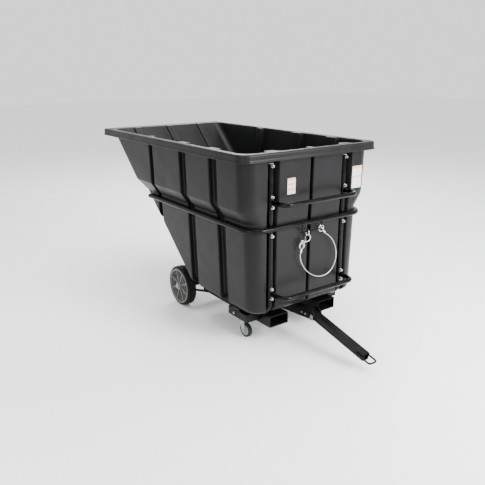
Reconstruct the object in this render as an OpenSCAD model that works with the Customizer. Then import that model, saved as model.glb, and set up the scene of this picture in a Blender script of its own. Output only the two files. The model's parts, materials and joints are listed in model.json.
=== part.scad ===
/* [Tub] */
// Length of the tub over the rim, from dump end to tow end
rim_l = 2001; // [1980:1:2030]
// Width of the tub over the rim
rim_w = 1118; // [1110:1:1130]
// Height of the top of the rim above the floor
rim_z = 1281; // [1276:1:1290]
// Height of the rim's outer skirt
rim_h = 53; // [45:1:56]
// Height of the underside of the tub floor
floor_z = 253; // [253:1:254]
// Slope of the dump wall, in degrees from level
dump_slope = 43.4; // [43:0.1:44]
// Wall thickness of the moulding
wall = 8; // [6:1:9]

/* [Frame tube] */
// Diameter of the side tubes that run up the tow end
post_d = 38; // [36:1:38]
// Distance of each side tube from the centre plane
post_y = 302; // [300:1:304]
// Diameter of the belt rail around the tub
rail_d = 32; // [30:1:34]
// Height of the belt rail's centreline
rail_z = 813; // [810:1:816]
// Diameter of the two handle tubes
handle_d = 28; // [26:1:30]
// Height of the upper handle
upper_handle_z = 975; // [970:1:980]
// Height of the lower handle
lower_handle_z = 386; // [384:1:388]
// How far the handles stand out beyond the rim
handle_out = 66; // [60:1:70]

/* [Base] */
// Width of a fork pocket
pocket_w = 152; // [148:1:154]
// Height of a fork pocket
pocket_h = 76; // [74:1:76]
// Height of the underside of the fork pockets
pocket_z = 133; // [132:1:133]
// Distance of each pocket's middle from the centre plane
pocket_y = 210; // [206:1:212]

/* [Wheels] */
// Diameter of the two big wheels
wheel_d = 306; // [300:2:306]
// Width of a big wheel's tyre
wheel_w = 72; // [66:1:76]
// Distance of the outer face of a big wheel from the centre plane
wheel_y = 425; // [422:1:428]
// Diameter of the big wheels' axle
axle_d = 25; // [22:1:26]
// Diameter of a caster wheel
caster_d = 102; // [98:1:102]
// Angle at which the casters stand, in degrees
caster_turn = 5; // [0:1:40]

/* [Tow bar] */
// How far the tow loop reaches beyond the rim
tow_reach = 545; // [520:1:560]
// Angle by which the tow bar hangs below level, in degrees
tow_drop = 13.5; // [13:0.5:14]
// Width and height of the square tow bar
bar_w = 50; // [48:1:50]

/* [Hidden] */
$fn = 48;
tow_x = (rim_l - tow_reach) / 2;
dump_x = tow_x - rim_l;
fit = 0.05;
gap = 0.4;

// Plan of the tub at a height: half width, tow-end face and dump-end face
ledge_top = 930;
ledge_foot = 850;
rim_bottom = rim_z - rim_h;
rim_half = rim_w / 2;
upper_half = rim_half - 44;
ledge_half = rim_half - 51;
lower_half = rim_half - 103;
foot_half = rim_half - 119;
tow_corner = 95;
dump_corner = 60;
floor_round = 36;
dump_top_x = dump_x + 86;
function blend(z, z0, z1, a, b) = a + (b - a) * (z - z0) / (z1 - z0);
function half_at(z) =
  z > ledge_top ? blend(z, ledge_top, rim_z, ledge_half, upper_half) :
  z > ledge_foot ? blend(z, ledge_foot, ledge_top, lower_half, ledge_half) :
  blend(z, floor_z, ledge_foot, foot_half, lower_half);
function tow_face(z) =
  tow_x + (z > 960 ? blend(z, 960, rim_z, -43, -38) :
  z > 900 ? blend(z, 900, 960, -53, -43) : blend(z, floor_z, 900, -57, -53));
function dump_face(z) = dump_top_x + (rim_z - z) / tan(dump_slope);
function arc_points(cx, cy, r, from, steps) =
  [for (i = [0:steps]) [cx + r * cos(from + 90 * i / steps), cy + r * sin(from + 90 * i / steps)]];
function outline(x0, x1, y, r0, r1, n = 8) = concat(
  arc_points(x1 - r1, -y + r1, r1, -90, n),
  arc_points(x1 - r1, y - r1, r1, 0, n),
  arc_points(x0 + r0, y - r0, r0, 90, n),
  arc_points(x0 + r0, -y + r0, r0, 180, n));

// Solid through a stack of outlines, each one a list of as many points
module stack(rings, heights) {
  n = len(rings[0]);
  m = len(rings);
  points = [for (i = [0:m - 1]) for (p = rings[i]) [p[0], p[1], heights[i]]];
  sides = [for (i = [0:m - 2]) for (j = [0:n - 1])
    [i * n + j, (i + 1) * n + j, (i + 1) * n + (j + 1) % n, i * n + (j + 1) % n]];
  foot = [for (j = [0:n - 1]) j];
  top = [for (j = [n - 1:-1:0]) (m - 1) * n + j];
  polyhedron(points = points, faces = concat(sides, [foot], [top]), convexity = 8);
}

// Form of the tub drawn in by an offset, up to a height
tub_levels = [300, 480, 660, ledge_foot, ledge_foot + 8, ledge_top - 8, ledge_top, 962, 1100];
function tub_ring(z, in, pull) =
  outline(dump_face(z) + in / sin(dump_slope) + pull, tow_face(z) - in - pull,
    half_at(z) - in - pull, max(dump_corner - in - pull / 2, 8), max(tow_corner - in - pull / 2, 8));
module tub_form(in, top_z) {
  bottom = floor_z + in;
  round_r = floor_round;
  foot_z = [for (a = [0:30:90]) bottom + round_r * (1 - cos(a))];
  pulls = [for (a = [0:30:90]) round_r * (1 - sin(a))];
  heights = concat(foot_z, [for (z = tub_levels) if (z > foot_z[3] + 1) z], [top_z]);
  rings = concat([for (i = [0:3]) tub_ring(foot_z[i], in, pulls[i])],
    [for (z = tub_levels) if (z > foot_z[3] + 1) tub_ring(z, in, 0)], [tub_ring(top_z, in, 0)]);
  stack(rings, heights);
}

// Heights of the base: cross plates on the pockets, side tubes on the plates
plate_t = 5;
plate_z = pocket_z + pocket_h;
base_z = plate_z + plate_t + post_d / 2;
foot_bend = 100;

// Stiffening grooves: side grooves, dump wall grooves and tow wall grooves
side_groove_x = [tow_x - 1220, tow_x - 758, tow_x - 382];
side_groove_w = [52, 88, 90];
side_groove_deep = 34;
dump_groove_w = 36;
dump_groove_deep = 18;
post_x = tow_x - 73;
post_groove_w = 46;
post_groove_mouth = 86;
post_groove_x = post_x - post_d / 2 - 3;
centre_groove_w = 24;
centre_groove_x = tow_x - 82;
module side_slabs(wide) {
  for (i = [0:2])
    for (s = [-1, 1])
      translate([side_groove_x[i] - side_groove_w[i] / 2 - wide, s > 0 ? foot_half - 90 : -rim_half, floor_z - 1])
        cube([side_groove_w[i] + 2 * wide, rim_half - foot_half + 90, rim_z]);
}
module dump_slabs(wide) {
  for (y = [-post_y, 0, post_y])
    translate([dump_x, y - dump_groove_w / 2 - wide, floor_z - 1])
      cube([rim_l - 900, dump_groove_w + 2 * wide, rim_z]);
}
module tow_slabs(wide) {
  chamfer = foot_bend * 0.67 + wide * sqrt(2);
  inner = post_groove_w / 2 + wide;
  mouth = post_groove_mouth / 2 + wide;
  mouth_x = tow_x - 45;
  for (y = [-post_y, post_y]) {
    translate([0, y, floor_z - 1]) linear_extrude(rim_z)
      polygon([
        [post_groove_x - wide, -inner], [mouth_x, -mouth], [mouth_x + 160, -mouth],
        [mouth_x + 160, mouth], [mouth_x, mouth], [post_groove_x - wide, inner]]);
    translate([post_groove_x, y + post_groove_w / 2 + wide, floor_z]) rotate([90, 0, 0])
      linear_extrude(post_groove_w + 2 * wide) polygon([[-chamfer, 0], [-chamfer, -1], [1, -1], [1, chamfer]]);
  }
  translate([centre_groove_x - wide, -centre_groove_w / 2 - wide, floor_z - 1])
    cube([200, centre_groove_w + 2 * wide, rim_z]);
}
// Everything inside the tub's skin
module tub_cavity() {
  difference() {
    tub_form(wall, rim_z + 1);
    side_slabs(wall);
    dump_slabs(wall);
    tow_slabs(wall);
  }
  difference() {
    tub_form(side_groove_deep + wall, rim_z + 1);
    tow_slabs(wall);
  }
  difference() {
    tub_form(dump_groove_deep + wall, rim_z + 1);
    side_slabs(wall);
    tow_slabs(wall);
  }
}
// Rim: a folded-over edge with a small lip along its foot
function rim_ring(in) = outline(dump_x + in, tow_x - in, rim_half - in, max(24 - in, 4), max(78 - in, 10));
module rim_block(in, z0, z1) {
  lip = 11;
  step = 6;
  insets = [0, 0, step, step, step + 3, step + 9];
  heights = [z0, z0 + lip - 3, z0 + lip, z1 - 9, z1 - 3, z1];
  stack([for (k = insets) rim_ring(in + k)], heights);
}
module tub() {
  color([0.13, 0.13, 0.14])
  difference() {
    union() {
      difference() {
        tub_form(0, rim_z - 1);
        intersection() {
          difference() {
            side_slabs(0);
            tub_form(side_groove_deep, rim_z);
          }
          translate([dump_x, -rim_w, 0]) cube([rim_l, 2 * rim_w, rim_bottom]);
        }
        intersection() {
          difference() {
            dump_slabs(0);
            tub_form(dump_groove_deep, rim_z);
          }
          translate([dump_x, -rim_w, 0]) cube([rim_l, 2 * rim_w, rim_bottom]);
        }
        intersection() {
          tow_slabs(0);
          translate([dump_x, -rim_w, 0]) cube([rim_l + 200, 2 * rim_w, rim_bottom]);
        }
      }
      difference() {
        rim_block(0, rim_bottom, rim_z);
        rim_block(wall, rim_bottom - 1, rim_z - wall);
      }
    }
    tub_cavity();
  }
}

// Round bar through a list of points: straight runs with round bends of one radius
module rod(d, length) {
  cylinder(h = length, d = d);
}
module bend(d, r, angle) {
  rotate_extrude(angle = angle) translate([r, 0]) circle(d = d);
}

// Side tube: upright at the tow end, bend under the tub, run to the dump wall and up it
post_top = 1206;
chute_bend = 90;
chute_run = 330;
knee_x = dump_face(floor_z) - (post_d / 2 + gap - (floor_z - base_z) * cos(dump_slope)) / sin(dump_slope);
chute_start = floor(knee_x + chute_bend * tan(dump_slope / 2));
module side_tube() {
  lap = 2;
  translate([post_x, 0, base_z + foot_bend]) rod(post_d, post_top - base_z - foot_bend);
  translate([post_x - foot_bend, 0, base_z + foot_bend])
    rotate([90, 0, 0]) rotate([0, 0, -90]) bend(post_d, foot_bend, 90);
  translate([post_x - foot_bend, 0, base_z])
    rotate([0, -90, 0]) rod(post_d, post_x - foot_bend - chute_start);
  translate([chute_start, 0, base_z + chute_bend])
    rotate([90, 0, 0]) mirror([1, 0, 0]) rotate([0, 0, -90]) bend(post_d, chute_bend, dump_slope);
  translate([chute_start - chute_bend * sin(dump_slope), 0, base_z + chute_bend * (1 - cos(dump_slope))])
    rotate([0, -90 + dump_slope, 0]) translate([0, 0, -lap]) rod(post_d - 1.2, chute_run + lap);
}
module side_tube_near() {
  color([0.05, 0.05, 0.05]) translate([0, -post_y, 0]) side_tube();
}
module side_tube_far() {
  color([0.05, 0.05, 0.05]) translate([0, post_y, 0]) side_tube();
}
module tube_end_caps() {
  color([0.55, 0.57, 0.58])
  for (y = [-post_y, post_y])
    translate([post_x, y, post_top]) cylinder(h = 5, d = post_d - 2);
}

// Belt rail: around the near side, the tow end and the far side, open at the dump end
rail_x = tow_face(rail_z) + rail_d / 2 + gap;
rail_y = half_at(rail_z) + rail_d / 2 + gap;
rail_bend = tow_corner + rail_d / 2;
rail_end_x = dump_face(rail_z) + 62;
module belt_rail() {
  color([0.05, 0.05, 0.05]) {
    for (s = [-1, 1])
      translate([rail_x - rail_bend + 1, s * rail_y, rail_z])
        rotate([0, -90, 0]) rod(rail_d - 0.1, rail_x - rail_bend - rail_end_x + 1);
    translate([rail_x - rail_bend, -rail_y + rail_bend, rail_z])
      rotate([0, 0, -90]) bend(rail_d, rail_bend, 90);
    translate([rail_x - rail_bend, rail_y - rail_bend, rail_z]) bend(rail_d, rail_bend, 90);
    translate([rail_x, -rail_y + rail_bend, rail_z])
      rotate([-90, 0, 0]) rod(rail_d, 2 * (rail_y - rail_bend));
  }
}

// Handles: bent tube with two legs on the side tubes
handle_bend = 46;
handle_x = tow_x + handle_out;
module handle(z) {
  leg_y = post_y - 4;
  run_y = leg_y - handle_bend;
  difference() {
    union() {
      for (s = [-1, 1]) {
        translate([post_x, s * leg_y, z]) rotate([0, 90, 0]) rod(handle_d, handle_x - handle_bend - post_x);
      }
      translate([handle_x - handle_bend, -run_y, z]) rotate([0, 0, -90]) bend(handle_d, handle_bend, 90);
      translate([handle_x - handle_bend, run_y, z]) bend(handle_d, handle_bend, 90);
      translate([handle_x, -run_y, z]) rotate([-90, 0, 0]) rod(handle_d, 2 * run_y);
    }
    for (s = [-1, 1])
      translate([post_x, s * post_y, z - handle_d]) cylinder(h = 2 * handle_d, d = post_d);
  }
}
module upper_handle() {
  color([0.04, 0.04, 0.04]) handle(upper_handle_z);
}
module lower_handle() {
  color([0.04, 0.04, 0.04]) handle(lower_handle_z);
}

// Nuts with washers on the side tubes, with the ends of their bolts
module row_of_bolts(heights) {
  for (s = [-1, 1])
    for (z = heights)
      translate([post_x + post_d / 2 - 0.6, s * post_y, z]) rotate([0, 90, 0]) {
        cylinder(h = 2.6, d = 21);
        translate([0, 0, 2.6]) cylinder(h = 9, d = 18, $fn = 6);
        cylinder(h = 17, d = 10);
      }
}
module handle_bolts() {
  color([0.75, 0.76, 0.76])
    row_of_bolts([upper_handle_z - 32, upper_handle_z + 32, lower_handle_z - 32, lower_handle_z + 32]);
}
module tub_bolts() {
  color([0.75, 0.76, 0.76]) row_of_bolts([rail_z - 48, post_top - 12]);
}

// Base: fork pockets, cross plates and caster mounts
pocket_front = tow_x - 85;
pocket_l = 780;
pocket_wall = 5;
front_plate_x = tow_x - 396;
front_plate_l = 208;
mount_end = 400;
module fork_pocket() {
  difference() {
    translate([pocket_front - pocket_l, -pocket_w / 2, pocket_z]) cube([pocket_l, pocket_w, pocket_h]);
    translate([pocket_front - pocket_l - 1, -pocket_w / 2 + pocket_wall, pocket_z + pocket_wall])
      cube([pocket_l + 2, pocket_w - 2 * pocket_wall, pocket_h - 2 * pocket_wall]);
  }
}
module fork_pocket_near() {
  color([0.07, 0.06, 0.06]) translate([0, -pocket_y, 0]) fork_pocket();
}
module fork_pocket_far() {
  color([0.07, 0.06, 0.06]) translate([0, pocket_y, 0]) fork_pocket();
}
module front_cross_plate() {
  color([0.06, 0.06, 0.06])
  translate([front_plate_x, -mount_end, plate_z]) cube([front_plate_l, 2 * mount_end, plate_t]);
}
module rear_cross_plate() {
  color([0.06, 0.06, 0.06])
  translate([pocket_front - pocket_l, -post_y - 40, plate_z]) cube([160, 2 * post_y + 80, plate_t]);
}
mount_z = 160;
module caster_mount() {
  y0 = pocket_y + pocket_w / 2;
  difference() {
    translate([front_plate_x, y0, mount_z]) cube([front_plate_l, mount_end - y0, plate_z - mount_z]);
    translate([front_plate_x + plate_t, y0 - 1, mount_z + plate_t])
      cube([front_plate_l - 2 * plate_t, mount_end - y0 - plate_t + 1, plate_z - mount_z - 2 * plate_t]);
  }
}
module caster_mount_near() {
  color([0.1, 0.1, 0.1]) mirror([0, 1, 0]) caster_mount();
}
module caster_mount_far() {
  color([0.1, 0.1, 0.1]) caster_mount();
}

// Axle: brackets below the side tubes, a square beam and a round axle
axle_x = tow_x - 1044;
axle_z = wheel_d / 2;
beam_w = 44;
bracket_t = 8;
bracket_y = post_y + post_d / 2 + gap;
function chute_z(x) = base_z + (knee_x - x) * tan(dump_slope);
module axle_bracket() {
  difference() {
    translate([0, bracket_y + bracket_t, 0]) rotate([90, 0, 0]) linear_extrude(bracket_t)
      polygon([
        [axle_x - 42, axle_z - 34], [axle_x - 30, axle_z - 50], [axle_x + 26, axle_z - 50],
        [knee_x + 80, plate_z - 40], [knee_x + 80, base_z + 16], [knee_x + 4, base_z + 16], [axle_x + 6, chute_z(axle_x + 6)],
        [axle_x - 36, chute_z(axle_x - 36)]]);
    translate([0, bracket_y + bracket_t + 1, 0]) rotate([90, 0, 0]) linear_extrude(bracket_t + 2)
      polygon([
        [axle_x + 50, axle_z - 28], [knee_x + 4, plate_z - 42], [knee_x + 4, plate_z - 14],
        [knee_x - 32, chute_z(knee_x - 32) - 34],
        [axle_x + 50, chute_z(axle_x + 50) - 34]]);
    translate([axle_x, bracket_y - 1, axle_z]) rotate([-90, 0, 0])
      cylinder(h = bracket_t + 2, d = axle_d + 2 * fit);
  }
}
module axle_bracket_near() {
  color([0.06, 0.06, 0.06]) mirror([0, 1, 0]) axle_bracket();
}
module axle_bracket_far() {
  color([0.06, 0.06, 0.06]) axle_bracket();
}
module axle_beam() {
  color([0.06, 0.06, 0.06])
  difference() {
    translate([axle_x - beam_w / 2, -bracket_y, axle_z - beam_w / 2]) cube([beam_w, 2 * bracket_y, beam_w]);
    translate([axle_x, -bracket_y - 1, axle_z]) rotate([-90, 0, 0])
      cylinder(h = 2 * bracket_y + 2, d = axle_d + 2 * fit);
  }
}
axle_end = wheel_y + 15;
module axle() {
  color([0.7, 0.7, 0.72])
  difference() {
    translate([axle_x, -axle_end, axle_z]) rotate([-90, 0, 0]) cylinder(h = 2 * axle_end, d = axle_d);
    for (s = [-1, 1])
      translate([axle_x, s * (axle_end - 5), axle_z - axle_d]) cylinder(h = 2 * axle_d, d = 5);
  }
}

// Big wheel: spoked centre with a moulded-on tyre, its axis along Y, outer face towards +Y
tyre_t = 19;
hub_d = 62;
hub_l = 80;
wheel_bore = axle_d + 2 * fit;
web_t = 26;
module big_tyre() {
  crown = 6;
  rotate([-90, 0, 0]) rotate_extrude($fn = 96)
    polygon([
      [wheel_d / 2 - tyre_t, -wheel_w / 2], [wheel_d / 2 - crown, -wheel_w / 2],
      [wheel_d / 2, -wheel_w / 2 + 12], [wheel_d / 2, wheel_w / 2 - 12],
      [wheel_d / 2 - crown, wheel_w / 2], [wheel_d / 2 - tyre_t, wheel_w / 2]]);
}
spokes = 8;
module big_wheel() {
  rim_out = wheel_d / 2 - tyre_t;
  rotate([-90, 0, 0])
  difference() {
    union() {
      difference() {
        translate([0, 0, -wheel_w / 2]) cylinder(h = wheel_w, r = rim_out, $fn = 96);
        translate([0, 0, web_t / 2]) cylinder(h = wheel_w, r = rim_out - 12, $fn = 96);
        translate([0, 0, -wheel_w - web_t / 2]) cylinder(h = wheel_w, r = rim_out - 12, $fn = 96);
        for (i = [0:spokes - 1])
          rotate([0, 0, i * 360 / spokes]) translate([rim_out * 0.56, 0, -web_t])
            linear_extrude(2 * web_t) polygon([[-22, -10], [30, -30], [38, -20], [38, 20], [30, 30], [-22, 10]]);
      }
      translate([0, 0, -hub_l / 2]) cylinder(h = hub_l, d = hub_d);
      for (i = [0:spokes - 1])
        rotate([0, 0, (i + 0.5) * 360 / spokes]) translate([hub_d / 2 - 4, -5, -wheel_w / 2 + 8])
          cube([rim_out - 10 - hub_d / 2 + 4, 10, wheel_w - 16]);
    }
    translate([0, 0, -hub_l]) cylinder(h = 2 * hub_l, d = wheel_bore);
  }
}
module washer(out, bore, h) {
  difference() {
    cylinder(h = h, d = out);
    translate([0, 0, -1]) cylinder(h = h + 2, d = bore);
  }
}
wheel_mid = wheel_y - wheel_w / 2;
spacer_y = bracket_y + bracket_t + 0.1;
module axle_spacers() {
  color([0.6, 0.6, 0.6])
  for (s = [-1, 1])
    translate([axle_x, s > 0 ? spacer_y : -wheel_mid + hub_l / 2 + 0.3, axle_z]) rotate([-90, 0, 0])
      washer(36, wheel_bore, wheel_mid - hub_l / 2 - 0.3 - spacer_y);
}
washer_y = wheel_mid + hub_l / 2 + 0.3;
washer_t = 2.6;
module hub_washer() {
  translate([axle_x, washer_y, axle_z]) rotate([-90, 0, 0]) washer(46, wheel_bore, washer_t);
}
module cotter_pin() {
  translate([axle_x, axle_end - 5, axle_z]) {
    translate([0, 0, -20]) cylinder(h = 37, d = 4.9);
    translate([0, 0, 21.5]) rotate([90, 0, 0])
      rotate_extrude($fn = 24) translate([4.5, 0]) circle(d = 3, $fn = 16);
  }
}
module tyre_near() {
  color([0.08, 0.08, 0.08]) translate([axle_x, -wheel_mid, axle_z]) big_tyre();
}
module tyre_far() {
  color([0.08, 0.08, 0.08]) translate([axle_x, wheel_mid, axle_z]) big_tyre();
}
module wheel_near() {
  color([0.55, 0.56, 0.56]) translate([axle_x, -wheel_mid, axle_z]) big_wheel();
}
module wheel_far() {
  color([0.55, 0.56, 0.56]) translate([axle_x, wheel_mid, axle_z]) big_wheel();
}
module hub_washer_near() {
  color([0.75, 0.75, 0.75]) mirror([0, 1, 0]) hub_washer();
}
module hub_washer_far() {
  color([0.75, 0.75, 0.75]) hub_washer();
}
module cotter_pin_near() {
  color([0.8, 0.8, 0.8]) mirror([0, 1, 0]) cotter_pin();
}
module cotter_pin_far() {
  color([0.8, 0.8, 0.8]) cotter_pin();
}

// Casters: top plate with king pin, swivel fork, wheel and wheel bolt
caster_x = tow_x - 334;
caster_y = 326;
caster_trail = 36;
caster_r = caster_d / 2;
caster_w = 30;
caster_pad = 76;
fork_t = 4;
king_d = 12;
caster_bolt_d = 10;
module caster_plate() {
  translate([-caster_pad / 2, -caster_pad / 2, mount_z - 4]) cube([caster_pad, caster_pad, 4]);
  translate([0, 0, mount_z - 9]) cylinder(h = 5, d = 58);
  translate([0, 0, mount_z - 22]) cylinder(h = 20, d = king_d);
  translate([0, 0, mount_z - 26]) cylinder(h = 4.8, d = 20, $fn = 6);
}
fork_top = mount_z - 9 - gap;
module caster_fork() {
  inner = caster_w / 2 + 4;
  difference() {
    union() {
      translate([0, 0, fork_top - 9]) cylinder(h = 9, d = 62);
      translate([-24, -inner - fork_t, fork_top - 10]) cube([48, 2 * (inner + fork_t), 5]);
      for (s = [-1, 1])
        translate([0, s > 0 ? inner + fork_t : -inner, 0]) rotate([90, 0, 0]) linear_extrude(fork_t)
          polygon([
            [-24, fork_top - 5], [24, fork_top - 5], [caster_trail + 14, caster_r + 12],
            [caster_trail + 13, caster_r - 9], [caster_trail + 7, caster_r - 14],
            [caster_trail - 7, caster_r - 14], [caster_trail - 13, caster_r - 7]]);
    }
    translate([0, 0, fork_top - 12]) cylinder(h = 14, d = king_d + 2 * fit);
    translate([0, 0, fork_top - 30]) cylinder(h = 20, d = 24);
    translate([caster_trail, -40, caster_r]) rotate([-90, 0, 0])
      cylinder(h = 80, d = caster_bolt_d + 2 * fit);
  }
}
module caster_tyre() {
  translate([caster_trail, 0, caster_r]) rotate([-90, 0, 0]) rotate_extrude($fn = 64)
    polygon([
      [caster_r - 14, -caster_w / 2], [caster_r - 5, -caster_w / 2], [caster_r, -caster_w / 2 + 7],
      [caster_r, caster_w / 2 - 7], [caster_r - 5, caster_w / 2], [caster_r - 14, caster_w / 2]]);
}
module caster_hub() {
  translate([caster_trail, 0, caster_r]) rotate([-90, 0, 0])
  difference() {
    union() {
      translate([0, 0, -caster_w / 2 + 1]) cylinder(h = caster_w - 2, r = caster_r - 14, $fn = 64);
      translate([0, 0, -caster_w / 2 - 3]) cylinder(h = caster_w + 6, d = 34);
    }
    for (s = [-1, 1])
      translate([0, 0, s > 0 ? 8 : -caster_w]) washer(2 * (caster_r - 20), 38, caster_w - 8);
    translate([0, 0, -caster_w]) cylinder(h = 2 * caster_w, d = caster_bolt_d + 2 * fit);
  }
}
module caster_bolt() {
  reach = caster_w / 2 + 4 + fork_t + 0.2;
  translate([caster_trail, 0, caster_r]) rotate([-90, 0, 0]) {
    translate([0, 0, -reach - 1]) cylinder(h = 2 * reach + 8, d = caster_bolt_d);
    translate([0, 0, -reach - 7]) cylinder(h = 7, d = 18, $fn = 6);
    translate([0, 0, reach]) cylinder(h = 7, d = 18, $fn = 6);
  }
}
module at_caster(side) {
  translate([caster_x, side * caster_y, 0]) children();
}
module turned(side) {
  at_caster(side) rotate([0, 0, caster_turn]) children();
}
module caster_plate_near() {
  color([0.75, 0.76, 0.76]) at_caster(-1) caster_plate();
}
module caster_plate_far() {
  color([0.75, 0.76, 0.76]) at_caster(1) caster_plate();
}
module caster_fork_near() {
  color([0.75, 0.76, 0.76]) turned(-1) caster_fork();
}
module caster_fork_far() {
  color([0.75, 0.76, 0.76]) turned(1) caster_fork();
}
module caster_tyre_near() {
  color([0.07, 0.07, 0.07]) turned(-1) caster_tyre();
}
module caster_tyre_far() {
  color([0.07, 0.07, 0.07]) turned(1) caster_tyre();
}
module caster_hub_near() {
  color([0.6, 0.62, 0.62]) turned(-1) caster_hub();
}
module caster_hub_far() {
  color([0.6, 0.62, 0.62]) turned(1) caster_hub();
}
module caster_bolt_near() {
  color([0.7, 0.7, 0.7]) turned(-1) caster_bolt();
}
module caster_bolt_far() {
  color([0.7, 0.7, 0.7]) turned(1) caster_bolt();
}
// Nuts below the caster plates and the bolts on the ends of the caster mounts
module caster_fixings() {
  color([0.75, 0.75, 0.75])
  for (side = [-1, 1]) {
    for (a = [45:90:315])
      at_caster(side) rotate([0, 0, a]) translate([40, 0, mount_z - 11]) cylinder(h = 7, d = 14, $fn = 6);
    translate([caster_x + 8, side * mount_end, mount_z + 26]) rotate([side * -90, 0, 0])
      cylinder(h = 7, d = 18, $fn = 6);
  }
}

// Tow bar: square tube on a removable pin between two cheeks
pin_x = tow_x + 36;
pin_z = 192;
pin_d = 16;
cheek_t = 7;
cheek_y = bar_w / 2 + 1.5;
bar_back = 52;
stop_z = pin_z + bar_back * sin(tow_drop) + bar_w / 2 * cos(tow_drop) + 1.5;
loop_rod = 12;
loop_in = 26;
bar_l = (tow_reach - 36 - loop_rod / 2) / cos(tow_drop) - 58;
module along_bar() {
  translate([pin_x, 0, pin_z]) rotate([0, tow_drop, 0]) children();
}
module tow_bracket() {
  foot_x = tow_x - 300;
  color([0.05, 0.05, 0.05])
  difference() {
    union() {
      for (s = [-1, 1])
        translate([0, s > 0 ? cheek_y + cheek_t : -cheek_y, 0]) rotate([90, 0, 0]) linear_extrude(cheek_t)
          polygon([
            [foot_x, plate_z], [tow_x - 80, plate_z], [tow_x - 46, stop_z + 8], [pin_x - 8, stop_z + 8],
            [pin_x + 22, pin_z + 18], [pin_x + 24, pin_z - 14], [pin_x + 10, pin_z - 26],
            [pin_x - 30, pin_z - 28], [foot_x, pocket_z + 6]]);
      translate([foot_x, -60, plate_z - 5]) cube([120, 120, plate_t]);
      translate([tow_x - 44, -cheek_y - 1, stop_z]) cube([38, 2 * cheek_y + 2, 8]);
      translate([foot_x - 8, -60, pocket_z + 6]) cube([8, 120, plate_z - pocket_z - 6]);
    }
    translate([pin_x, -80, pin_z]) rotate([-90, 0, 0]) cylinder(h = 160, d = pin_d + 2 * fit);
  }
}
module tow_bar() {
  color([0.06, 0.06, 0.06])
  difference() {
    along_bar() difference() {
      translate([-bar_back, -bar_w / 2, -bar_w / 2]) cube([bar_l + bar_back, bar_w, bar_w]);
      translate([24, -bar_w / 2 + 4, -bar_w / 2 + 4]) cube([bar_l, bar_w - 8, bar_w - 8]);
    }
    translate([pin_x, -80, pin_z]) rotate([-90, 0, 0]) cylinder(h = 160, d = pin_d + 2 * fit);
  }
}
// Rod loop welded to the sides of the tow bar
module tow_loop() {
  leg_y = bar_w / 2 + loop_rod / 2;
  leg_back = 62;
  corner = 16;
  tip = bar_l + 58;
  color([0.12, 0.12, 0.12])
  along_bar() {
    for (s = [-1, 1]) {
      translate([bar_l - leg_back, s * leg_y, 0])
        rotate([0, 90, 0]) rod(loop_rod, tip - corner - bar_l + leg_back);
    }
    translate([tip - corner, -leg_y + corner, 0]) rotate([0, 0, -90]) bend(loop_rod, corner, 90);
    translate([tip - corner, leg_y - corner, 0]) bend(loop_rod, corner, 90);
    translate([tip, -leg_y + corner, 0]) rotate([-90, 0, 0]) rod(loop_rod, 2 * (leg_y - corner));
  }
}
pin_reach = cheek_y + cheek_t;
clip_y = pin_reach + 9;
clip_d = 4;
module tow_pin() {
  color([0.72, 0.73, 0.74])
  difference() {
    translate([pin_x, 0, pin_z]) rotate([-90, 0, 0]) {
      translate([0, 0, -pin_reach - 0.4]) cylinder(h = 2 * pin_reach + 16, d = pin_d);
      translate([0, 0, -pin_reach - 6]) cylinder(h = 5.8, d = 26);
      translate([0, 13, -pin_reach - 7.4]) rotate_extrude($fn = 32) translate([12, 0]) circle(d = 4, $fn = 16);
    }
    translate([pin_x, clip_y, pin_z - pin_d]) cylinder(h = 2 * pin_d, d = clip_d + 2 * fit);
  }
}
// Clip through the end of the tow pin, with a ring to pull it by
module tow_pin_clip() {
  ring_r = 10;
  leg = 15;
  color([0.72, 0.73, 0.74])
  translate([pin_x, clip_y, pin_z]) {
    translate([0, 0, -leg]) cylinder(h = 2 * leg, d = clip_d);
    translate([0, 0, -leg - ring_r + 1]) rotate([90, 0, 0])
      rotate_extrude($fn = 32) translate([ring_r, 0]) circle(d = 3.5, $fn = 16);
  }
}
module tow_bracket_bolts() {
  color([0.75, 0.75, 0.75])
  for (s = [-1, 1])
    for (x = [tow_x - 60, tow_x - 24])
      translate([x, s * (cheek_y + cheek_t), pin_z]) rotate([s * -90, 0, 0]) cylinder(h = 7, d = 17, $fn = 6);
}

// Safety cable: a hoop under the belt rail, a link, a hook and a wire rope between them
hoop_rod = 10;
hoop_half = 80;
hoop_z = rail_z - 55;
hoop_x = rail_x + 12;
hoop_bend = 24;
// Turns a shape drawn in the XY plane into the YZ plane, X to Y and Y to Z
module in_yz() {
  rotate([90, 0, 90]) children();
}
module cable_hoop() {
  leg_top = rail_z - 6;
  low = hoop_z + hoop_bend;
  color([0.05, 0.05, 0.05])
  difference() {
    translate([hoop_x, 0, 0]) {
      for (s = [-1, 1]) {
        translate([0, s * hoop_half, low]) cylinder(h = leg_top - low, d = hoop_rod);
        translate([0, s * (hoop_half - hoop_bend), low])
          in_yz() rotate([0, 0, s > 0 ? -90 : 180]) bend(hoop_rod, hoop_bend, 90);
      }
      translate([0, -hoop_half + hoop_bend, hoop_z])
        rotate([-90, 0, 0]) rod(hoop_rod, 2 * (hoop_half - hoop_bend));
    }
    translate([rail_x, -200, rail_z]) rotate([-90, 0, 0]) rod(rail_d, 400);
  }
}
// Oval link that hangs on the hoop and carries the hook
link_y = -38;
link_rod = 8;
link_half = 13;
link_h = 38;
link_top = hoop_z + hoop_rod / 2 + link_rod / 2 + 0.2;
link_low = link_top - link_h;
module cable_link() {
  color([0.62, 0.66, 0.66])
  translate([hoop_x, link_y, 0]) {
    for (s = [-1, 1])
      translate([s * link_half, 0, link_low + link_half]) rod(link_rod, link_h - 2 * link_half);
    translate([0, 0, link_top - link_half]) rotate([90, 0, 0]) bend(link_rod, link_half, 180);
    translate([0, 0, link_low + link_half])
      rotate([90, 0, 0]) rotate([0, 0, 180]) bend(link_rod, link_half, 180);
  }
}
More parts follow.
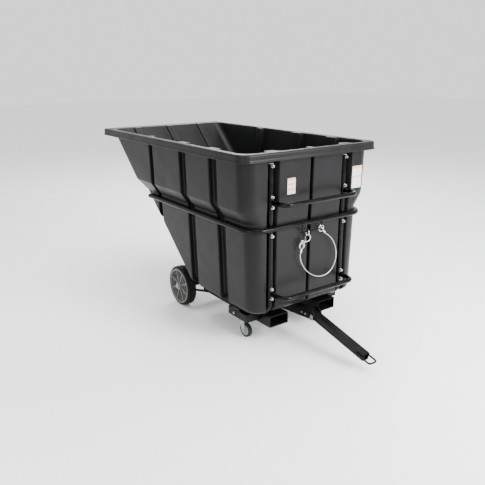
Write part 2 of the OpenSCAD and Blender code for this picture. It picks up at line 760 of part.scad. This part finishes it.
// Hook: round bowl, straight shank and an eye for the cable
hook_rod = 10;
hook_r = 23;
hook_z = link_low + link_rod / 2 + hook_rod / 2 + 0.2 - hook_r;
hook_shank = 26;
eye_r = 12;
eye_rod = 8;
eye_y = link_y - hook_shank - eye_r - 2;
eye_z = hook_z - hook_r;
module cable_hook() {
  color([0.8, 0.82, 0.82])
  translate([hoop_x, 0, 0]) {
    translate([0, link_y, hook_z]) in_yz() rotate([0, 0, -90]) bend(hook_rod, hook_r, 215);
    translate([0, link_y - hook_shank, eye_z]) rotate([-90, 0, 0]) rod(hook_rod, hook_shank);
    translate([0, eye_y, eye_z]) in_yz()
      rotate_extrude($fn = 32) translate([eye_r, 0]) circle(d = eye_rod, $fn = 16);
  }
}
latch_pin_d = 2.5;
latch_foot = [link_y - hook_shank + 5, eye_z + hook_rod / 2 + 3.2];
latch_tip = [link_y - 22, hook_z + 12];
latch_reach = norm(latch_tip - latch_foot);
latch_lean = atan2(latch_tip[0] - latch_foot[0], latch_tip[1] - latch_foot[1]);
module hook_latch() {
  color([0.85, 0.86, 0.86])
  translate([hoop_x, latch_foot[0], latch_foot[1]]) rotate([-latch_lean, 0, 0])
  difference() {
    union() {
      translate([-4, -1, 0]) cube([8, 2, latch_reach]);
      translate([-4, 0, 0]) rotate([0, 90, 0]) cylinder(h = 8, d = 5.5);
    }
    translate([-5, 0, 0]) rotate([0, 90, 0]) cylinder(h = 10, d = latch_pin_d + 2 * fit);
  }
}
module hook_latch_pin() {
  color([0.7, 0.7, 0.7])
  translate([hoop_x, latch_foot[0], latch_foot[1]]) {
    translate([-7, 0, 0]) rotate([0, 90, 0]) cylinder(h = 14, d = latch_pin_d);
    for (x = [-6.5, 4.4])
      translate([x, -2.5, -8]) cube([2.1, 5, 10.5]);
  }
}

// Ends of the cable: the middle of each thimble and the direction the cable leaves it in
cable_d = 6;
thimble_in = 13.5;
thimble_out = 17;
left_dir = [-0.2, -0.98];
right_dir = [0.7071, -0.7071];
left_mid = [eye_y, eye_z] + left_dir * (eye_r + thimble_in - eye_rod / 2 - 0.3);
right_hang = hoop_bend + thimble_in - hoop_rod / 2 - 0.3;
right_mid = [hoop_half - hoop_bend, hoop_z + hoop_bend] + right_dir * right_hang;
cable_ends = [[left_mid, left_dir], [right_mid, right_dir]];
eye_wrap = thimble_out + cable_d / 2 + 0.1;
ferrule_from = eye_wrap - 1;
ferrule_l = 26;
// Local Y runs along the cable, away from its eye
module at_ends() {
  for (e = cable_ends)
    translate([hoop_x, e[0][0], e[0][1]]) rotate([atan2(e[1][1], e[1][0]), 0, 0]) children();
}
module cable_thimbles() {
  color([0.75, 0.76, 0.76])
  at_ends() translate([0, 0, -3.5]) difference() {
    cylinder(h = 7, r = thimble_out);
    translate([0, 0, -1]) cylinder(h = 9, r = thimble_in);
  }
}
module cable_eyes() {
  color([0.72, 0.72, 0.7])
  at_ends() difference() {
    rotate_extrude() translate([eye_wrap, 0]) circle(d = cable_d, $fn = 16);
    translate([0, ferrule_from, 0]) rotate([-90, 0, 0]) cylinder(h = ferrule_l, d = 13);
  }
}
module cable_ferrules() {
  color([0.78, 0.78, 0.78])
  at_ends() translate([0, ferrule_from, 0]) rotate([-90, 0, 0]) cylinder(h = ferrule_l, d = 13);
}

// Route of the cable between its ferrules, as Y and Z, hanging in one upright plane
left_out = left_mid + left_dir * (ferrule_from + ferrule_l);
right_out = right_mid + right_dir * (ferrule_from + ferrule_l);
cable_route = [
  [-95, 600], [-90, 576], [-78, 548], [-60, 520], [-36, 492], [-6, 467], [30, 446], [68, 432],
  [106, 428], [142, 433], [174, 449], [199, 474], [215, 506], [222, 542], [220, 578], [211, 612],
  [195, 644], [174, 673], [150, 697]];
cable_points = concat(
  [left_out, left_out + left_dir * 14], cable_route, [right_out + right_dir * 14, right_out]);
function smooth(a, b, c, d, t) =
  0.5 * (2 * b + (c - a) * t + (2 * a - 5 * b + 4 * c - d) * t * t + (3 * b - a - 3 * c + d) * t * t * t);
last_point = len(cable_points) - 1;
function point_at(i) = cable_points[max(0, min(last_point, i))];
cable_line = concat(
  [for (i = [0:last_point - 1]) for (k = [0:2])
    smooth(point_at(i - 1), point_at(i), point_at(i + 1), point_at(i + 2), k / 3)],
  [point_at(last_point)]);
function run_dir(i) =
  let (a = cable_line[max(0, i - 1)], b = cable_line[min(len(cable_line) - 1, i + 1)]) (b - a) / norm(b - a);
module safety_cable() {
  sides = 8;
  n = len(cable_line);
  points = [for (i = [0:n - 1]) let (c = cable_line[i], d = run_dir(i)) for (j = [0:sides - 1])
    let (a = 360 * j / sides, r = cable_d / 2)
      [hoop_x + r * sin(a), c[0] + r * cos(a) * d[1], c[1] - r * cos(a) * d[0]]];
  walls = [for (i = [0:n - 2]) for (j = [0:sides - 1])
    [i * sides + j, i * sides + (j + 1) % sides, (i + 1) * sides + (j + 1) % sides, (i + 1) * sides + j]];
  start = [for (j = [sides - 1:-1:0]) j];
  finish = [for (j = [0:sides - 1]) (n - 1) * sides + j];
  color([0.72, 0.72, 0.7]) polyhedron(points = points, faces = concat(walls, [start], [finish]), convexity = 6);
}

// Plain label plates on the tow end
label_t = 1.2;
module small_label() {
  color([0.9, 0.87, 0.82])
  translate([tow_face(1012) + 0.1, -196, 1012]) rotate([0, 0.9, 0]) cube([label_t, 62, 98]);
}
module large_label() {
  color([0.9, 0.88, 0.8])
  translate([tow_face(982) + 0.1, 354, 982]) rotate([0, 0.9, 0]) cube([label_t, 86, 146]);
}

tub();
side_tube_near();
side_tube_far();
belt_rail();
tube_end_caps();
upper_handle();
lower_handle();
handle_bolts();
tub_bolts();
fork_pocket_near();
fork_pocket_far();
front_cross_plate();
rear_cross_plate();
caster_mount_near();
caster_mount_far();
axle_bracket_near();
axle_bracket_far();
axle_beam();
axle();
tyre_near();
tyre_far();
wheel_near();
wheel_far();
hub_washer_near();
hub_washer_far();
cotter_pin_near();
cotter_pin_far();
caster_plate_near();
caster_plate_far();
caster_fork_near();
caster_fork_far();
caster_tyre_near();
caster_tyre_far();
caster_hub_near();
caster_hub_far();
caster_bolt_near();
caster_bolt_far();
caster_fixings();
tow_bracket();
tow_bar();
tow_loop();
tow_pin();
tow_pin_clip();
tow_bracket_bolts();
cable_hoop();
axle_spacers();
cable_link();
safety_cable();
cable_eyes();
cable_thimbles();
cable_ferrules();
cable_hook();
hook_latch();
hook_latch_pin();
small_label();
large_label();
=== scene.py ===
import json
import math

import bmesh
import bpy
from mathutils import Matrix, Vector


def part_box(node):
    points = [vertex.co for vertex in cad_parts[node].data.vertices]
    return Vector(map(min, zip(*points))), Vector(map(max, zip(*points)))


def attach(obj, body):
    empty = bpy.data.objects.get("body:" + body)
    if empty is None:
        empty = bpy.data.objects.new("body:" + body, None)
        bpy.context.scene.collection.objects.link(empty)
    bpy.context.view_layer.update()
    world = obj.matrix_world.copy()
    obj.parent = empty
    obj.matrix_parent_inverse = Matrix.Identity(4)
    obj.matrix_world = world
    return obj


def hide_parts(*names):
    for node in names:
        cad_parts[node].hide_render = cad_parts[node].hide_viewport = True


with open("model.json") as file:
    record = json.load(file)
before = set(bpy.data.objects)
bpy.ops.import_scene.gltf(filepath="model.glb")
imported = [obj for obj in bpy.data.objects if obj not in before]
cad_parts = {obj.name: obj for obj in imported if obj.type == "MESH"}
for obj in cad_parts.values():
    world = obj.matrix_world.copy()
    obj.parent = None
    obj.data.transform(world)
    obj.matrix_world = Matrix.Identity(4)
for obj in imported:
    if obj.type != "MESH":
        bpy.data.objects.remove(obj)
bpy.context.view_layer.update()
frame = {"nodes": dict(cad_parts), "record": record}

NODES = frame["nodes"]
ROOT = "chassis"


def middle(node):
    low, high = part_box(node)
    return (Vector(low) + Vector(high)) / 2


# ---------------------------------------------------------------- camera
YAW, PITCH, ROLL = 0.955, 0.301, -0.007
camera = bpy.data.objects.new("camera", bpy.data.cameras.new("camera"))
bpy.context.collection.objects.link(camera)
camera.data.sensor_width = 36
camera.data.lens = 40.9
camera.data.clip_end = 200
camera.location = (3.192, -2.303, 1.724)
forward = Vector((-math.sin(YAW) * math.cos(PITCH), math.cos(YAW) * math.cos(PITCH), -math.sin(PITCH)))
turn = forward.to_track_quat("-Z", "Y").to_matrix() @ Matrix.Rotation(ROLL, 3, "Z")
camera.rotation_mode = "QUATERNION"
camera.rotation_quaternion = turn.to_quaternion()
bpy.context.scene.camera = camera


# ---------------------------------------------------------------- meshes
def new_piece(name, verts, faces, smooth=True):
    mesh = bpy.data.meshes.new(name)
    mesh.from_pydata([tuple(v) for v in verts], [], faces)
    mesh.validate()
    if smooth:
        mesh.shade_smooth()
    piece = bpy.data.objects.new(name, mesh)
    bpy.context.collection.objects.link(piece)
    return piece


def finish_piece(piece, body, material, replaces=()):
    """Gives a piece its material and its body, and hides the CAD nodes that it stands for."""
    piece.data.materials.clear()
    piece.data.materials.append(material)
    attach(piece, body)
    if replaces:
        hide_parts(*replaces)
    return piece


def sweep(points, radius_at, sides, normal=Vector((1, 0, 0))):
    """An open tube through points in one plane, capped at both ends. radius_at(run, angle) is its radius."""
    verts, faces = [], []
    n = len(points)
    run = 0.0
    for i, p in enumerate(points):
        along = (points[min(i + 1, n - 1)] - points[max(i - 1, 0)]).normalized()
        side = along.cross(normal).normalized()
        if i:
            run += (p - points[i - 1]).length
        for j in range(sides):
            t = 2 * math.pi * j / sides
            verts.append(p + (side * math.cos(t) + normal * math.sin(t)) * radius_at(run, t))
    for i in range(n - 1):
        here, there = i * sides, (i + 1) * sides
        for j in range(sides):
            m = (j + 1) % sides
            faces.append((here + j, here + m, there + m, there + j))
    faces.append(tuple(range(sides - 1, -1, -1)))
    faces.append(tuple((n - 1) * sides + j for j in range(sides)))
    return verts, faces


def fix_normals(piece):
    bm = bmesh.new()
    bm.from_mesh(piece.data)
    bmesh.ops.recalc_face_normals(bm, faces=bm.faces)
    bm.to_mesh(piece.data)
    bm.free()


# ---------------------------------------------------------------- materials
class Shader:
    """A procedural material: noise at several sizes drives its colour, its roughness and its bump."""

    def __init__(self, name, base, rough, metallic=0.0, coat=0.0, coat_rough=0.1, specular=0.5):
        self.mat = bpy.data.materials.new(name)
        self.mat.use_nodes = True
        self.tree = self.mat.node_tree
        self.bsdf = self.tree.nodes["Principled BSDF"]
        self.set("Base Color", (*base, 1))
        self.set("Roughness", rough)
        self.set("Metallic", metallic)
        self.set("Coat Weight", coat)
        self.set("Coat Roughness", coat_rough)
        self.set("Specular IOR Level", specular)
        self.base = base
        self.coords = self.tree.nodes.new("ShaderNodeTexCoord").outputs["Object"]
        self.bump_out = None

    def set(self, socket, value):
        self.bsdf.inputs[socket].default_value = value

    def link(self, a, b):
        self.tree.links.new(a, b)

    def noise(self, scale, detail):
        tex = self.tree.nodes.new("ShaderNodeTexNoise")
        tex.inputs["Scale"].default_value = scale
        tex.inputs["Detail"].default_value = detail
        self.link(self.coords, tex.inputs["Vector"])
        return tex.outputs["Fac"]

    def ranged(self, value, low, high, start=0.3, end=0.7):
        node = self.tree.nodes.new("ShaderNodeMapRange")
        node.inputs["From Min"].default_value = start
        node.inputs["From Max"].default_value = end
        node.inputs["To Min"].default_value = low
        node.inputs["To Max"].default_value = high
        self.link(value, node.inputs["Value"])
        return node.outputs["Result"]

    def colour(self, value, other, start=0.35, end=0.7, under=None):
        mix = self.tree.nodes.new("ShaderNodeMix")
        mix.data_type = "RGBA"
        self.link(self.ranged(value, 0, 1, start, end), mix.inputs["Factor"])
        if under is None:
            mix.inputs["A"].default_value = (*self.base, 1)
        else:
            self.link(under, mix.inputs["A"])
        mix.inputs["B"].default_value = (*other, 1)
        self.link(mix.outputs["Result"], self.bsdf.inputs["Base Color"])
        return mix.outputs["Result"]

    def roughness(self, value, low, high, start=0.3, end=0.7):
        self.link(self.ranged(value, low, high, start, end), self.bsdf.inputs["Roughness"])

    def bump(self, value, distance, strength=1.0):
        node = self.tree.nodes.new("ShaderNodeBump")
        node.inputs["Distance"].default_value = distance
        node.inputs["Strength"].default_value = strength
        self.link(value, node.inputs["Height"])
        if self.bump_out is not None:
            self.link(self.bump_out, node.inputs["Normal"])
        self.bump_out = node.outputs["Normal"]
        self.link(self.bump_out, self.bsdf.inputs["Normal"])

    def edges(self):
        return self.tree.nodes.new("ShaderNodeNewGeometry").outputs["Pointiness"]


def moulded_plastic(name, base, lighter, rough, grain=700, grain_depth=0.0003, wave_depth=0.0035, gloss=0.4):
    """Moulded plastic: soft waves, a fine grain and a painted highlight that makes its convex edges lighter.
    """
    s = Shader(name, base, rough, specular=gloss)
    mixed = s.colour(s.noise(2.3, 4), lighter)
    # Painted highlight: convex edges (high pointiness) are lightened up to 1.6 times the lighter tone, as if
    # they caught the light.
    s.colour(s.edges(), tuple(min(1, 1.6 * c) for c in lighter), 0.53, 0.66, mixed)
    s.roughness(s.noise(9, 5), rough - 0.06, rough + 0.09)
    s.bump(s.noise(3.2, 1), wave_depth, 0.5)
    s.bump(s.noise(grain, 2), grain_depth, 0.35)
    return s.mat


def coated_steel(name, base, rough, coat):
    """Powder-coated steel: faint lighter patches and orange peel."""
    worn = 0.004
    s = Shader(name, base, rough, coat=coat, coat_rough=0.08, specular=0.1)
    s.colour(s.noise(14, 6), tuple(c * 1.5 + worn for c in base), 0.5, 0.85)
    s.roughness(s.noise(30, 5), rough - 0.05, rough + 0.1)
    s.bump(s.noise(260, 2), 0.00025, 0.3)
    return s.mat


def plated_steel(name, base, rough):
    """Zinc-plated steel: dull patches and fine scratches."""
    s = Shader(name, base, rough, metallic=1.0)
    s.colour(s.noise(60, 6), tuple(c * 0.72 for c in base), 0.42, 0.75)
    s.roughness(s.noise(180, 5), rough - 0.08, rough + 0.16)
    s.bump(s.noise(900, 3), 0.0001, 0.4)
    return s.mat


def rubber(name, base, rough):
    s = Shader(name, base, rough, specular=0.14)
    s.colour(s.noise(40, 6), tuple(c * 2.2 + 0.01 for c in base), 0.5, 0.82)
    s.roughness(s.noise(70, 4), rough - 0.1, rough + 0.1)
    s.bump(s.noise(1200, 2), 0.0002, 0.4)
    return s.mat


def printed_film(name, base):
    s = Shader(name, base, 0.32, coat=0.25, coat_rough=0.2)
    s.colour(s.noise(120, 4), tuple(c * 0.88 for c in base), 0.5, 0.75)
    s.roughness(s.noise(60, 3), 0.28, 0.4)
    s.bump(s.noise(300, 2), 0.0001, 0.2)
    return s.mat


MAT = {
    "tub_plastic": moulded_plastic(
        "tub_plastic", (0.0055, 0.0056, 0.006), (0.008, 0.0081, 0.0087), 0.34, gloss=0.13),
    "gloss_black": coated_steel("gloss_black", (0.0015, 0.0015, 0.0017), 0.17, 0.03),
    "satin_black": coated_steel("satin_black", (0.003, 0.0028, 0.0028), 0.3, 0.02),
    "cap_grey": moulded_plastic("cap_grey", (0.2, 0.21, 0.22), (0.25, 0.26, 0.27), 0.45),
    "zinc": plated_steel("zinc", (0.4, 0.41, 0.42), 0.22),
    "wheel_grey": moulded_plastic(
        "wheel_grey", (0.085, 0.087, 0.082), (0.12, 0.122, 0.116), 0.4, 900, 0.0002, 0.0006),
    "tyre_black": rubber("tyre_black", (0.004, 0.004, 0.004), 0.6),
    "caster_tread": rubber("caster_tread", (0.012, 0.012, 0.0125), 0.5),
    "caster_grey": moulded_plastic(
        "caster_grey", (0.2, 0.215, 0.22), (0.26, 0.275, 0.28), 0.4, 900, 0.0002, 0.0004),
    "cable_wire": plated_steel("cable_wire", (0.62, 0.62, 0.6), 0.34),
    "ferrule_metal": plated_steel("ferrule_metal", (0.72, 0.72, 0.7), 0.36),
    "label_plate": printed_film("label_plate", (0.62, 0.6, 0.56)),
    "print_orange": printed_film("print_orange", (0.8, 0.24, 0.02)),
    "print_yellow": printed_film("print_yellow", (0.85, 0.36, 0.01)),
    "print_grey": printed_film("print_grey", (0.52, 0.52, 0.52)),
    "print_blue": printed_film("print_blue", (0.55, 0.62, 0.7)),
}
SLOT_OF = {part["node"]: part["material_slot"] for part in frame["record"]["subparts"]}
for node, obj in NODES.items():
    obj.data.materials.clear()
    obj.data.materials.append(MAT[SLOT_OF[node]])


# ---------------------------------------------------------------- safety cable
HOOP_X = middle("cable_link").x
CABLE_D = 0.006
LAY_PITCH = 0.034
STRANDS = 6
LEAD = 0.014  # straight run out of each ferrule
LEFT_DIR, RIGHT_DIR = Vector((0, -0.2, -0.98)), Vector((0, 0.7071, -0.7071))
LEFT_MID = Vector((HOOP_X, -0.08224, 0.671624))
RIGHT_MID = Vector((HOOP_X, 0.078769, 0.759231))
EYE_TO_END = 0.0451
# The hanging loop from hook to hoop, as (y, z) in mm
ROUTE = [
    (-95, 600), (-90, 576), (-78, 548), (-60, 520), (-36, 492), (-6, 467), (30, 446), (68, 432),
    (106, 428), (142, 433), (174, 449), (199, 474), (215, 506), (222, 542), (220, 578), (211, 612),
    (195, 644), (174, 673), (150, 697)]


def smooth_line(points, steps):
    """A Catmull-Rom curve through the points, with that many steps between each two."""
    line = []
    last = len(points) - 1
    for i in range(last):
        a, b, c, d = points[max(0, i - 1)], points[i], points[i + 1], points[min(last, i + 2)]
        for k in range(steps):
            t = k / steps
            line.append(0.5 * (2 * b + (c - a) * t + (2 * a - 5 * b + 4 * c - d) * t * t
                               + (3 * b - a - 3 * c + d) * t ** 3))
    return line + [points[-1]]


def strand_radius(run, angle):
    """The rope's radius, with its strands winding along it."""
    return CABLE_D / 2 * (0.86 + 0.14 * abs(math.cos(STRANDS / 2 * (angle + 2 * math.pi * run / LAY_PITCH))))


left_out = LEFT_MID + LEFT_DIR * EYE_TO_END
right_out = RIGHT_MID + RIGHT_DIR * EYE_TO_END
cable_points = [left_out, left_out + LEFT_DIR * LEAD]
cable_points += [Vector((HOOP_X, y / 1000, z / 1000)) for y, z in ROUTE]
cable_points += [right_out + RIGHT_DIR * LEAD, right_out]
cable_line = smooth_line(cable_points, 30)
cable = new_piece("wire_rope", *sweep(cable_line, strand_radius, 24))
fix_normals(cable)
finish_piece(cable, ROOT, MAT["cable_wire"], ["safety_cable"])

# Eyes of the cable around their thimbles
EYE_R = 0.0201
EYE_GAP = math.radians(62)


def eye_loop(centre, out):
    start = math.atan2(out.z, out.y)
    count = 72
    points = []
    for i in range(count + 1):
        a = start + EYE_GAP / 2 + (2 * math.pi - EYE_GAP) * i / count
        points.append(centre + Vector((0, math.cos(a), math.sin(a))) * EYE_R)
    return sweep(points, strand_radius, 18)


eye_verts, eye_faces = eye_loop(LEFT_MID, LEFT_DIR)
more_verts, more_faces = eye_loop(RIGHT_MID, RIGHT_DIR)
eye_faces += [tuple(len(eye_verts) + k for k in face) for face in more_faces]
eyes = new_piece("rope_eyes", eye_verts + more_verts, eye_faces)
fix_normals(eyes)
finish_piece(eyes, ROOT, MAT["cable_wire"], ["cable_eyes"])


# ---------------------------------------------------------------- tub with the rounded edges of a moulding
def evaluated_mesh(obj):
    graph = bpy.context.evaluated_depsgraph_get()
    return bpy.data.meshes.new_from_object(obj.evaluated_get(graph), depsgraph=graph)


def moulded_tub():
    """The tub as small voxels, relaxed so that its corners turn round, then thinned out."""
    piece = bpy.data.objects.new("moulded_tub", NODES["tub"].data.copy())
    bpy.context.collection.objects.link(piece)
    remesh = piece.modifiers.new("voxels", "REMESH")
    remesh.mode = "VOXEL"
    remesh.voxel_size = 0.0036
    relax = piece.modifiers.new("relax", "SMOOTH")
    relax.factor = 0.5
    relax.iterations = 9
    fewer = piece.modifiers.new("fewer", "DECIMATE")
    fewer.ratio = 0.3
    mesh = evaluated_mesh(piece)
    piece.modifiers.clear()
    piece.data = mesh
    mesh.shade_smooth()
    return piece


tub = moulded_tub()
finish_piece(tub, ROOT, MAT["tub_plastic"], ["tub"])


# ---------------------------------------------------------------- broken edges on the steel
def break_edges(node, width):
    obj = NODES[node]
    weld = obj.modifiers.new("weld", "WELD")
    weld.merge_threshold = 0.00002
    bevel = obj.modifiers.new("bevel", "BEVEL")
    bevel.width = width
    bevel.segments = 2
    bevel.limit_method = "ANGLE"
    bevel.angle_limit = math.radians(38)
    obj.modifiers.new("normals", "WEIGHTED_NORMAL").keep_sharp = True


# Bevel width in metres, and the nodes that have it
BROKEN = {
    0.003: ["fork_pocket_near", "fork_pocket_far", "tow_bar", "axle_beam"],
    0.0015: ["front_cross_plate", "rear_cross_plate", "caster_mount_near", "caster_mount_far",
             "axle_bracket_near", "axle_bracket_far", "tow_bracket"],
    0.002: ["wheel_near", "wheel_far"],
    0.0008: ["caster_plate_near", "caster_plate_far", "caster_fork_near", "caster_fork_far",
             "caster_hub_near", "caster_hub_far", "handle_bolts", "tub_bolts", "tow_bracket_bolts",
             "caster_fixings", "caster_bolt_near", "caster_bolt_far", "cable_ferrules", "cable_thimbles",
             "tow_pin", "tube_end_caps"]}
for width, names in BROKEN.items():
    for name in names:
        break_edges(name, width)


# ---------------------------------------------------------------- tyres: round shoulders, shallow grooves
def lathe(name, profile, centre, axis, segments):
    """Turns a closed profile of (radius, place along the axis) about an axis that lies level."""
    axis = axis.normalized()
    up = Vector((0, 0, 1))
    out = axis.cross(up)
    verts, faces = [], []
    n = len(profile)
    for i in range(segments):
        a = 2 * math.pi * i / segments
        radial = out * math.cos(a) + up * math.sin(a)
        verts += [centre + radial * r + axis * along for r, along in profile]
    for i in range(segments):
        k = (i + 1) % segments
        for j in range(n):
            m = (j + 1) % n
            faces.append((i * n + j, k * n + j, k * n + m, i * n + m))
    piece = new_piece(name, verts, faces)
    fix_normals(piece)
    return piece


def tyre_profile(outer, inner, half, shoulder, grooves, groove_w, groove_deep):
    """Half-round shoulders, a slightly crowned tread and grooves cut into it."""
    crown = 0.0012
    side = [(inner, half), (inner + 0.004, half), (outer - shoulder - 0.001, half)]
    for k in range(1, 6):
        a = math.pi / 2 * k / 6
        side.append((outer - crown - shoulder * (1 - math.sin(a)), half - shoulder * (1 - math.cos(a))))
    tread = [(outer - crown, half - shoulder)]
    for g in grooves:
        for place, depth in ((g + groove_w / 2, 0), (g + groove_w / 4, groove_deep),
                             (g - groove_w / 4, groove_deep), (g - groove_w / 2, 0)):
            lift = crown * (1 - (place / half) ** 2)
            tread.append((outer - crown + lift - depth, place))
    tread.append((outer - crown, -(half - shoulder)))
    return side + tread + [(r, -along) for r, along in reversed(side)]


def add_tyre(node, body, slot, axis, shoulder, grooves, groove_w, groove_deep, wall, half):
    low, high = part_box(node)
    centre = middle(node)
    outer = (high[2] - low[2]) / 2
    profile = tyre_profile(outer, outer - wall, half, shoulder, grooves, groove_w, groove_deep)
    piece = lathe(node + "_tread", profile, centre, axis, 144)
    return finish_piece(piece, body, MAT[slot], [node])


WHEEL_TYRE = dict(shoulder=0.011, grooves=(0.018, 0.006, -0.006, -0.018), groove_w=0.003, groove_deep=0.0022,
                  wall=0.019, half=0.036)
CASTER_TYRE = dict(shoulder=0.007, grooves=(), groove_w=0, groove_deep=0, wall=0.014, half=0.015)
CASTER_TURN = math.radians(5)
WHEEL_AXIS = Vector((0, 1, 0))
CASTER_AXIS = Vector((-math.sin(CASTER_TURN), math.cos(CASTER_TURN), 0))
for side in ("near", "far"):
    add_tyre("tyre_" + side, side + "_wheel", "tyre_black", WHEEL_AXIS, **WHEEL_TYRE)
    add_tyre("caster_tyre_" + side, side + "_caster_wheel", "caster_tread", CASTER_AXIS, **CASTER_TYRE)


# ---------------------------------------------------------------- labels: plain film with generic bars
def label(name, node, rows):
    """Each row is (low, high, left, right, material), in shares of the label's height and width."""
    low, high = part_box(node)
    width, height = high[1] - low[1], high[2] - low[2]
    thick = 0.0012
    lean = (high[0] - low[0] - thick) / height
    inset = 0.00008

    def corner(y, z, out):
        return Vector((low[0] + out + lean * z * height, low[1] + y * width, low[2] + z * height))

    verts, faces, slots = [], [], []
    mats = [MAT["label_plate"]]

    def patch(z0, z1, y0, y1, out, mat):
        if mat not in mats:
            mats.append(mat)
        k = len(verts)
        verts.extend([corner(y0, z0, out), corner(y1, z0, out), corner(y1, z1, out), corner(y0, z1, out)])
        faces.append((k, k + 1, k + 2, k + 3))
        slots.append(mats.index(mat))

    arc = 5
    r_y, r_z = 0.004 / width, 0.004 / height
    outline = []
    for cy, cz, start in ((1 - r_y, r_z, -90), (1 - r_y, 1 - r_z, 0), (r_y, 1 - r_z, 90), (r_y, r_z, 180)):
        for i in range(arc + 1):
            a = math.radians(start + 90 * i / arc)
            outline.append((cy + r_y * math.cos(a), cz + r_z * math.sin(a)))
    n = len(outline)
    verts.extend(corner(y, z, 0) for y, z in outline)
    verts.extend(corner(y, z, thick - inset) for y, z in outline)
    faces.append(tuple(range(n - 1, -1, -1)))
    faces.append(tuple(range(n, 2 * n)))
    faces.extend((j, (j + 1) % n, n + (j + 1) % n, n + j) for j in range(n))
    slots.extend([0] * (n + 2))
    for z0, z1, y0, y1, mat in rows:
        patch(z0, z1, y0, y1, thick, MAT[mat])
    piece = new_piece(name, verts, faces, smooth=False)
    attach(piece, ROOT)
    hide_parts(node)
    for mat in mats:
        piece.data.materials.append(mat)
    piece.data.polygons.foreach_set("material_index", slots)
    return piece


def bars(z0, z1, count, left, right, mat):
    """Rows of plain bars with ragged right ends, in place of print."""
    step = (z1 - z0) / count
    rows = []
    for i in range(count):
        foot = z0 + i * step
        rows.append((foot + step * 0.25, foot + step * 0.7, left, right - 0.12 * ((i * 3) % 4) / 3, mat))
    return rows


label("label_small", "small_label",
      [(z, z + 0.1, 0.03, 0.97, "print_orange") for z in (0.88, 0.56, 0.24)]
      + bars(0.68, 0.86, 4, 0.08, 0.92, "print_grey") + bars(0.36, 0.54, 4, 0.08, 0.92, "print_grey")
      + bars(0.04, 0.22, 4, 0.08, 0.92, "print_grey"))
label("label_large", "large_label",
      [(0.9, 0.98, 0.03, 0.97, "print_yellow"), (0.5, 0.55, 0.03, 0.97, "print_orange"),
       (0.14, 0.44, 0.08, 0.5, "print_blue"), (0.62, 0.84, 0.08, 0.34, "print_blue")]
      + bars(0.6, 0.86, 6, 0.4, 0.93, "print_grey") + bars(0.14, 0.46, 7, 0.56, 0.93, "print_grey")
      + bars(0.03, 0.11, 2, 0.08, 0.93, "print_grey"))


# ---------------------------------------------------------------- weld beads
def weld_ring(centre, axis, radius, bead):
    axis = axis.normalized()
    helper = Vector((0, 0, 1)) if abs(axis.z) < 0.9 else Vector((0, 1, 0))
    u = axis.cross(helper).normalized()
    v = axis.cross(u)
    segments, sides = 60, 8
    verts, faces = [], []
    for i in range(segments):
        a = 2 * math.pi * i / segments
        ripple = bead * (1 + 0.14 * math.sin(15 * a) + 0.06 * math.sin(4 * a + 1))
        radial = u * math.cos(a) + v * math.sin(a)
        for j in range(sides):
            t = 2 * math.pi * j / sides
            verts.append(centre + radial * (radius + ripple * math.cos(t)) + axis * ripple * math.sin(t))
    for i in range(segments):
        k = (i + 1) % segments
        for j in range(sides):
            m = (j + 1) % sides
            faces.append((i * sides + j, k * sides + j, k * sides + m, i * sides + m))
    return verts, faces


def joined(name, parts):
    verts, faces = [], []
    for part_verts, part_faces in parts:
        faces += [tuple(len(verts) + k for k in face) for face in part_faces]
        verts += part_verts
    piece = new_piece(name, verts, faces)
    fix_normals(piece)
    return piece


# Radius around the bar and thickness of each kind of bead
HANDLE_WELD = (0.0142, 0.0028)
HOOP_WELD = (0.0055, 0.0018)
welds = []
for handle in ("upper_handle", "lower_handle"):
    z = middle(handle).z
    for side in ("near", "far"):
        post_low, post_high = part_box("side_tube_" + side)
        y = (post_low[1] + post_high[1]) / 2
        leg_y = y - math.copysign(0.004, y)
        welds.append(weld_ring(Vector((post_high[0] - 0.001, leg_y, z)), Vector((1, 0, 0)), *HANDLE_WELD))
hoop_low, hoop_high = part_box("cable_hoop")
for y in (hoop_low[1] + 0.005, hoop_high[1] - 0.005):
    welds.append(weld_ring(Vector((HOOP_X, y, hoop_high[2] - 0.006)), Vector((0.4, 0, 1)), *HOOP_WELD))
finish_piece(joined("weld_beads", welds), ROOT, MAT["gloss_black"])

# ---------------------------------------------------------------- floor, light and world
FLOOR_HALF = 30
floor_corners = [(x * FLOOR_HALF, y * FLOOR_HALF, 0) for x, y in ((-1, -1), (1, -1), (1, 1), (-1, 1))]
floor = new_piece("floor", floor_corners, [(0, 1, 2, 3)], smooth=False)
floor_shader = Shader("floor", (0.93, 0.93, 0.93), 0.65, specular=0.2)
floor_shader.colour(floor_shader.noise(0.6, 3), (0.91, 0.91, 0.91))
floor.data.materials.append(floor_shader.mat)

WORLD_LIGHT = 1.4
world = bpy.data.worlds.new("studio")
world.use_nodes = True
background = world.node_tree.nodes["Background"]
background.inputs["Color"].default_value = (1, 1, 1, 1)
background.inputs["Strength"].default_value = WORLD_LIGHT
bpy.context.scene.world = world


def area_light(name, at, aim, size, power):
    """A rectangular lamp at one point, facing another."""
    lamp = bpy.data.lights.new(name, "AREA")
    lamp.shape = "RECTANGLE"
    lamp.size, lamp.size_y = size
    lamp.energy = power
    obj = bpy.data.objects.new(name, lamp)
    bpy.context.collection.objects.link(obj)
    obj.location = at
    obj.rotation_mode = "QUATERNION"
    obj.rotation_quaternion = (Vector(aim) - Vector(at)).to_track_quat("-Z", "Y")


area_light("front_box", (4.4, 1.4, 2.6), (0.7, 0, 0.7), (2.2, 2.4), 580)
area_light("side_box", (2.4, -4.6, 2.2), (0.0, -0.4, 0.7), (2.4, 2.2), 80)
area_light("top_box", (0, 0, 5.2), (0, 0, 0), (4, 3), 260)
area_light("back_box", (-4.4, 3.2, 4.8), (0, 0, 0.9), (2.6, 1.6), 330)
